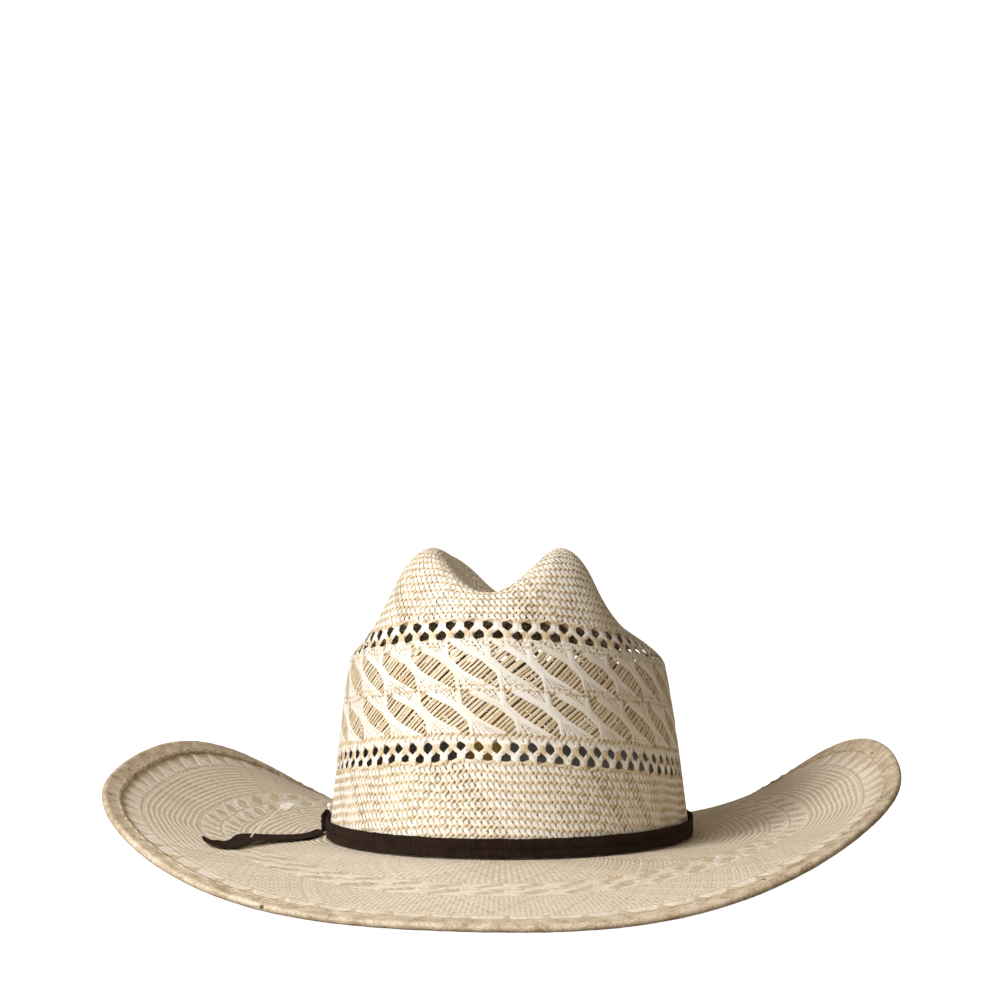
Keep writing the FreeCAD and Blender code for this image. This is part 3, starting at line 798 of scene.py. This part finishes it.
def make_brim(paints):
    """Woven zones from the opening outwards: close weave, a band of stars, close weave and teeth."""
    brim_stars = bundles(STAR_ROWS, STAR_STRAWS, 4.8, 0.7, 0.8)
    teeth = rising(TEETH_START, (TEETH_END, TEETH_ROWS))
    pieces = []
    for name, count, levels, fill, open_fill, lift, gather in (
            ("inner", 300, rising(0.0, (39.6, 26)), (0.86, 0.82), (1.0, 0.7), 0.08, None),
            ("middle", 424, rising(39.4, (59.4, 17)), (0.90, 0.92), (1.0, 1.15), 0.06, brim_stars),
            ("outer", 540, rising(59.0, (83.6, 21)), (0.88, 0.88), (1.0, 0.7), 0.05, None),
            ("teeth", 632, teeth, (0.92, 0.98), (1.1, 1.2), 0.06, brim_teeth)):
        # The brim's straws get less painted shade where they go under another.
        pieces += weave(f"brim_{name}", count, levels, brim_place, -1.0, 0.0, paints, fill, open_fill, lift,
                        gather, thick=0.2, dip_shade=0.3)
    return pieces


def brim_lifted(phi, inset, lift):
    """A point on the brim, inset from the edge wire and lifted from the middle of the straw."""
    edge = brim_surface(phi, 1.0 + 0.0 * phi)
    length = np.linalg.norm(edge - brim_surface(phi, 0.98 + 0.0 * phi), axis=-1) / 0.02
    share = 1.0 - inset / length
    steady = np.minimum(share, 0.99)
    along = brim_surface(phi + 0.01, steady) - brim_surface(phi - 0.01, steady)
    across = brim_surface(phi, steady + 0.01) - brim_surface(phi, steady - 0.01)
    return brim_surface(phi, share) + unit(np.cross(across, along)) * lift[..., None]


def make_hem(paint):
    """The fold over the edge wire, a little uneven, with ragged inner edges."""
    count = 1300
    phi = np.linspace(0.0, 2.0 * math.pi, count, endpoint=False)[:, None]
    bend = np.linspace(0.5 * math.pi, 1.5 * math.pi, 9)
    upper = np.linspace(HEM_WIDTH, 0.0, 9)
    inset = np.concatenate([upper, EDGE_ROLL * np.cos(bend[1:-1]), upper[::-1] * HEM_WIDTH_UNDER / HEM_WIDTH])
    lift = np.concatenate([HEM_OUTER + (EDGE_ROLL - HEM_OUTER) * (1.0 - upper / HEM_WIDTH) ** 4,
                           EDGE_ROLL * np.sin(bend[1:-1]),
                           -HEM_OUTER - (EDGE_ROLL - HEM_OUTER) * (1.0 - upper[::-1] / HEM_WIDTH) ** 4])
    inset = np.concatenate([inset, [HEM_WIDTH_UNDER, HEM_WIDTH]])[None, :]
    lift = np.concatenate([lift, [-0.7, 0.7]])[None, :]
    turn = phi / (2.0 * math.pi)
    ragged = RNG.normal(0.0, 0.16, (count, 1)) + 0.25 * waves(turn * 9.0, inset, 21)
    lumps = 0.06 * waves(turn * 7.0, 9.0 * inset, 22) + RNG.normal(0.0, 0.02, (count, inset.shape[1]))
    worn_inset = inset + ragged * smooth((inset - 4.5) / 2.5)
    grid = brim_lifted(phi + 0.0 * inset, worn_inset, lift + lumps * np.sign(lift))
    return lofted("rolled_hem", [(grid, True)], paint, "hat")


def make_hem_stitches(paint):
    span = 2.0 * math.pi / HEM_STITCHES
    phi = np.arange(HEM_STITCHES) * span
    start, end, up = [], [], []
    for side in (1.0, -1.0):
        level = side * (HEM_OUTER + 0.5 * STITCH_RADIUS) + 0.0 * phi
        inset = HEM_STITCH_INSET + RNG.normal(0.0, 0.12, len(phi))
        start.append(brim_lifted(phi, inset, level))
        end.append(brim_lifted(phi + 0.6 * span, inset, level))
        up.append(unit(brim_lifted(phi, inset, 2.0 * level) - start[-1]))
    start, end, up = np.concatenate(start), np.concatenate(end), np.concatenate(up)
    return thread("hem_stitches", start, end, up, paint)


# -------------------------------- sweatband

def wall_ring(phi, height, depth):
    """Points of the crown's wall at heights, moved level towards the middle by depths."""
    stations = np.linspace(0.0, 0.6, 121)
    points = np.zeros((len(phi), len(height), 3))
    for i, angle in enumerate(phi):
        line = crown_surface(angle + 0.0 * stations, stations)
        ahead = crown_surface(angle + 0.01 + 0.0 * stations, stations)
        outward_way = np.cross(ahead[5] - line[5], [0.0, 0.0, 1.0])
        outward_way /= np.linalg.norm(outward_way)
        level = np.maximum(height, 0.0)
        for axis in (0, 1):
            points[i, :, axis] = np.interp(level, line[:, 2], line[:, axis]) - outward_way[axis] * depth
        points[i, :, 2] = height
    return points


def make_sweatband(paint):
    """The leather strip, with its lower edge turned round the reed."""
    phi = np.linspace(0.0, 2.0 * math.pi, 480, endpoint=False)
    middle = BAND_GAP + LEATHER / 2.0
    reed = SWEATBAND_LOW - REED_RADIUS - 0.05
    round_reed = np.linspace(0.84 * math.pi, 2.16 * math.pi, 13)
    shoulder = SWEATBAND_HIGH - 0.4
    heights = np.concatenate([np.linspace(shoulder, -1.2, 12), reed + REED_WRAP * np.sin(round_reed),
                              np.linspace(-0.9, shoulder, 12), [SWEATBAND_HIGH]])
    depths = np.concatenate([np.full(12, BAND_GAP), middle + REED_WRAP * np.cos(round_reed),
                             np.full(12, BAND_GAP + LEATHER), [middle]])
    grid = wall_ring(phi, heights, depths)
    grid[..., 2] += 0.25 * np.sin(11.0 * phi)[:, None] * smooth(heights / SWEATBAND_HIGH)[None, :]
    return lofted("sweatband_leather", [(grid, True)], paint, "hat")


def make_sweatband_stitches(paint):
    span = 2.0 * math.pi / SWEAT_STITCHES
    phi = np.arange(SWEAT_STITCHES) * span
    depth = BAND_GAP + LEATHER + 0.9 * STITCH_RADIUS
    height = np.array([SWEAT_STITCH_HEIGHT])
    start, end = (wall_ring(phi + shift, height, depth)[:, 0] for shift in (0.0, 0.62 * span))
    up = unit(wall_ring(phi, height, depth + 1.0)[:, 0] - start)
    return thread("sweatband_stitches", start, end, up, paint)


def make_bow(paint):
    """A flat bow of narrow ribbon: two loops, two slanting ends and the turn round its middle."""
    depth = BAND_GAP + LEATHER + 0.5
    centre = wall_ring(np.array([math.pi / 2.0]), np.array([14.0]), depth)[0, 0]
    upright = np.array([[0.0, 0.0, 1.0]])
    parts = []
    turn = np.linspace(-0.9 * math.pi, 0.9 * math.pi, 40)
    for side in (1.0, -1.0):
        loop = np.stack([side * (6.4 + 5.6 * np.cos(turn)), -1.9 + 1.2 * np.sin(turn),
                         0.3 * np.sin(2.0 * turn)], axis=1)
        half = 1.9 - 0.7 * np.cos(turn / 2.0 + math.pi / 2.0) ** 2
        parts.append((strip(centre + loop, upright, half, np.full(40, 0.5)), False))
        end = [(0.8, -0.9, -0.6), (4.0, -1.0, -3.6), (7.6, -0.8, -7.2), (10.6, -1.1, -10.4)]
        end = curve_through(end, 24)
        end[:, 0] *= side
        across = np.tile([0.7 * side, 0.0, 0.7], (24, 1))
        parts.append((strip(centre + end, across, np.full(24, 1.6), np.full(24, 0.5)), False))
    turn = np.linspace(0.0, 2.0 * math.pi, 28, endpoint=False)
    knot = np.stack([1.2 * np.cos(turn), -1.9 + 1.3 * np.sin(turn), 0.0 * turn], axis=1)
    parts.append((strip(centre + knot, upright, np.full(28, 2.3), np.full(28, 0.6)), True))
    return lofted("bow_ribbon", parts, paint, "hat", 90.0)


# -------------------------------- ribbon, knot, tail and pins

def make_ribbon(paint):
    """The folded ribbon round the crown, with a groove along its middle and slightly ragged edges."""
    count = 1800
    phi = np.interp(np.arange(count) / count, TURN_SHARE, PHIS)
    base = wall_ring(phi, np.array([0.0]), np.array([0.0]))[:, 0]
    out = unit(base - wall_ring(phi, np.array([0.0]), np.array([1.0]))[:, 0])
    column = np.linspace(0.0, 1.0, 25)
    swell = RIBBON - 0.7 * np.exp(-((column - 0.46) / 0.03) ** 2) - 0.35 * np.abs(2.0 * column - 1.0) ** 8
    turn = (np.arange(count) / count)[:, None]
    soft = 0.06 * waves(turn * 2.0, 20.0 * column[None, :], 31)
    ragged = RNG.normal(0.0, 0.05, (count, 1)) + 0.12 * waves(turn * 3.0, 0.0 * turn, 32)
    face = base[:, None] + out[:, None] * (RIBBON_GAP + swell + soft)[..., None]
    face[..., 2] += RIBBON_GAP + RIBBON_HEIGHT * column[None, :] + ragged * (2.0 * column[None, :] - 1.0) ** 5
    back = base[:, None] + out[:, None] * np.full((1, 2, 1), RIBBON_GAP)
    back[..., 2] += RIBBON_GAP + RIBBON_HEIGHT * np.array([[0.97, 0.03]])
    return lofted("crown_ribbon", [(np.concatenate([face, back], axis=1), True)], paint, "ribbon",
                  RIBBON_ROUND)


def knot_frame():
    """Where the knot meets the ribbon, the way out from the crown there and the way round it."""
    phi = np.array([math.radians(KNOT_ANGLE)])
    base = wall_ring(phi, np.array([0.0]), np.array([-RIBBON_GAP - RIBBON - 0.05]))[0, 0]
    out = unit(base - wall_ring(phi, np.array([0.0]), np.array([0.0]))[0, 0])
    return base, out, np.cross([0.0, 0.0, 1.0], out)


def knot_fold(low, high, out_from, out_to, side_middle, side_half, folds, lean):
    """One gathered fold of ribbon at the knot, swept sideways, with a bulge for each of its pleats."""
    foot, out, side = knot_frame()
    sweep = np.linspace(-1.0, 1.0, 26)[:, None]
    turn = np.linspace(0.0, 2.0 * math.pi, 48, endpoint=False)[None, :]
    full = np.sqrt(np.clip(1.0 - np.abs(sweep) ** 5, 0.02, 1.0))
    across, rise = np.cos(turn), np.sin(turn)
    across = np.sign(across) * np.abs(across) ** 0.7
    rise = np.sign(rise) * np.abs(rise) ** 0.75
    pleat = 0.16 * np.cos(folds * math.pi * rise + 0.8 * sweep) * np.clip(across, 0.0, 1.0)
    depth = out_from + (out_to - out_from) * (0.5 + 0.5 * (across - 0.16 + pleat) * full)
    height = (low + high) / 2.0 + (high - low) / 2.0 * rise * (0.86 + 0.14 * full) + lean * sweep
    place = side_middle + side_half * sweep + 0.0 * turn
    rib = 0.05 * np.cos(2.0 * math.pi * place / RIB)
    return (foot + out * (depth + rib)[..., None] + side * place[..., None]
            + np.array([0.0, 0.0, 1.0]) * height[..., None])


def make_knot(paint):
    """Three gathered folds, one on top of another."""
    parts = [(knot_fold(0.8, 11.0, 0.0, 2.7, 0.0, 3.8, 3.0, 0.3), False),
             (knot_fold(2.2, 9.6, 0.8, 3.9, 1.4, 2.6, 3.0, -0.5), False),
             (knot_fold(0.9, 4.2, 0.6, 3.3, 3.2, 2.0, 1.0, -0.5), False)]
    return lofted("ribbon_knot", parts, paint, "ribbon", RIBBON_ROUND)


def make_knot_pin(paint):
    """A nylon pin that stands up behind the knot, with a round head."""
    foot, out, side = knot_frame()
    base = foot + out * 0.7 - side * 4.5
    profile = curve_through([(7.4, 0.6), (8.6, 0.75), (10.2, 0.72), (11.0, 0.66), (11.7, 1.0), (12.5, 1.15),
                             (13.2, 0.85), (13.5, 0.1)], 36)
    path = base + np.stack([0.0 * profile[:, 0], 0.0 * profile[:, 0], profile[:, 0]], axis=1)
    return lofted("knot_pin_nylon", [(tube(path, profile[:, 1], 16), False)], paint, "ribbon")


def brim_top(x, y):
    """The brim's upper surface below points given by x and y, and the way square to it."""
    phi = np.arctan2(y, x)
    for _ in range(14):
        edge, foot = edge_curve(phi)[..., :2], brim_surface(phi, 0.0 * phi)[..., :2]
        along = edge - foot
        gap = np.stack([x, y], axis=-1) - foot
        share = np.sum(gap * along, axis=-1) / np.sum(along * along, axis=-1)
        miss = (along[..., 0] * gap[..., 1] - along[..., 1] * gap[..., 0]) / np.linalg.norm(along, axis=-1)
        phi = phi + 0.8 * miss / np.hypot(x, y)
    ahead = brim_surface(phi + 0.01, share) - brim_surface(phi - 0.01, share)
    across = brim_surface(phi, share + 0.01) - brim_surface(phi, share - 0.01)
    up = unit(np.cross(across, ahead))
    return brim_surface(phi, share) + STRAW / 2.0 * up, up


TAIL = [  # x, y, clear of the brim, roll in degrees, half width
    (91.8, 6.5, 1.4, 0.0, 2.2), (92.6, 14.0, 0.9, 0.0, 3.2), (94.0, 27.0, 0.7, 2.0, 4.2),
    (96.8, 40.0, 0.7, 4.0, 4.8), (101.0, 52.0, 0.7, 6.0, 5.0), (105.2, 65.0, 0.9, 8.0, 5.0),
    (109.2, 79.0, 1.4, 9.0, 5.0), (112.0, 91.0, 1.8, 8.0, 4.8), (113.6, 101.0, 1.2, 4.0, 4.4),
    (115.6, 109.0, 0.7, 8.0, 4.0), (119.6, 114.0, 0.7, 16.0, 3.2), (124.6, 113.8, 1.0, 20.0, 1.8),
    (128.6, 110.8, 2.4, 20.0, 0.6)]


def make_tail(paint):
    """The ribbon's loose end. It lies along the brim, leans more and more and curls up at its cut tip."""
    route = curve_through(TAIL, 260)
    floor, up = brim_top(route[:, 0], route[:, 1])
    roll, half = np.radians(route[:, 3]), route[:, 4]
    run = unit(np.gradient(floor, axis=0))
    right = unit(np.cross(run, up))
    across = right * np.cos(roll)[:, None] + up * np.sin(roll)[:, None]
    path = floor + up * (route[:, 2] + half * np.abs(np.sin(roll)))[:, None]
    share = np.linspace(0.0, 1.0, len(route))
    thick = 0.55 * np.clip(12.0 * (1.0 - share), 0.3, 1.0)
    grid = strip(path, across, half, thick, 11, 0.25)
    tail = lofted("ribbon_tail_cloth", [(grid, False)], paint, "ribbon_tail", RIBBON_ROUND)
    return tail


def make_tag_pin(paint):
    """A tag fastener: a bar under the tail, a thin bent stem and a flat paddle."""
    floor, up = (found[0] for found in brim_top(np.array([111.2]), np.array([85.5])))
    lean = np.array([-0.62, -0.78, 0.0])
    stem = [floor + up * high + lean * out
            for high, out in ((1.3, 0.0), (3.2, 0.8), (6.8, 4.4), (10.2, 9.2), (12.9, 13.4), (14.4, 16.5))]
    half_bar = 3.6 * np.array([0.25, 0.97, 0.05])
    bar = curve_through([stem[0] - half_bar, stem[0], stem[0] + half_bar], 20)
    stem = curve_through(stem, 60)
    paddle = curve_through([stem[-1], stem[-1] + 1.1 * up + lean * 3.2, stem[-1] + 1.8 * up + lean * 7.0], 24)
    share = np.linspace(0.0, 1.0, 24)
    half = 0.4 + 1.7 * smooth(5.0 * share) * (1.0 - 0.75 * smooth((share - 0.55) / 0.45))
    side = np.tile(unit(np.cross(up, lean) + 0.8 * up), (24, 1))
    radius = 0.5 * np.clip(6.0 * np.minimum(np.linspace(0, 1, 20), np.linspace(1, 0, 20)), 0.1, 1.0)
    parts = [(tube(stem, np.full(60, 0.36)), False), (tube(bar, radius), False),
             (strip(paddle, side, half, np.full(24, 0.8)), False)]
    return lofted("tag_pin_nylon", parts, paint, "ribbon_tail", 40.0)


# -------------------------------- start

make_camera()
make_studio()

white = straw_material("straw_white", (0.84, 0.79, 0.70), (0.94, 0.92, 0.87), (0.98, 0.97, 0.95), 0.45)
tan = straw_material("straw_tan", (0.60, 0.46, 0.29), (0.76, 0.64, 0.45), (0.87, 0.78, 0.62), 0.48)
pale = straw_material("brim_white", (0.69, 0.62, 0.51), (0.80, 0.74, 0.65), (0.87, 0.82, 0.74), 0.52)
sand = straw_material("brim_tan", (0.52, 0.41, 0.28), (0.64, 0.53, 0.38), (0.74, 0.64, 0.49), 0.52)
grosgrain = ribbon_material()
leather = leather_material()
nylon = nylon_material("nylon", (0.80, 0.77, 0.71), (0.93, 0.92, 0.88))
clear_nylon = nylon_material("clear_nylon", (0.64, 0.60, 0.55), (0.80, 0.76, 0.71))
dark_cloth = cloth_material("dark_cloth", (0.010, 0.008, 0.007), (0.05, 0.04, 0.035))
label_cloth = cloth_material("label_cloth", (0.92, 0.56, 0.15), (1.0, 0.74, 0.30))
hem_thread = thread_material("hem_thread", (0.52, 0.43, 0.30), (0.72, 0.62, 0.47))
dark_thread = thread_material("dark_thread", (0.03, 0.02, 0.015), (0.13, 0.09, 0.07))

crown = make_crown((white, tan))
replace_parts(crown[0], "straw_crown")
brim = make_brim((pale, sand))
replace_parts(brim[0], "straw_brim")
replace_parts(make_hem(hem_material()), "brim_hem")
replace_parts(make_hem_stitches(hem_thread), "hem_stitching")
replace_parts(make_sweatband(leather), "sweatband")
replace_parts(make_sweatband_stitches(dark_thread), "sweatband_stitching")
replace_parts(make_bow(dark_cloth), "sweatband_bow")
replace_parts(make_ribbon(grosgrain), "hat_band")
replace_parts(make_knot(grosgrain), "band_knot")
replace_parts(make_knot_pin(nylon), "knot_pin")
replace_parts(make_tail(grosgrain), "band_tail")
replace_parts(make_tag_pin(clear_nylon), "tag_pin")

kept = {"brim_edge_wire": metal_material("edge_wire", (0.55, 0.55, 0.56), 0.38),
        "wire_ferrule": metal_material("ferrule_brass", (0.72, 0.58, 0.32), 0.35),
        "sweatband_tape": dark_cloth, "sweatband_reed": leather, "inside_label": label_cloth}
for name, paint in kept.items():
    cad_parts[name].data.materials.clear()
    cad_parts[name].data.materials.append(paint)
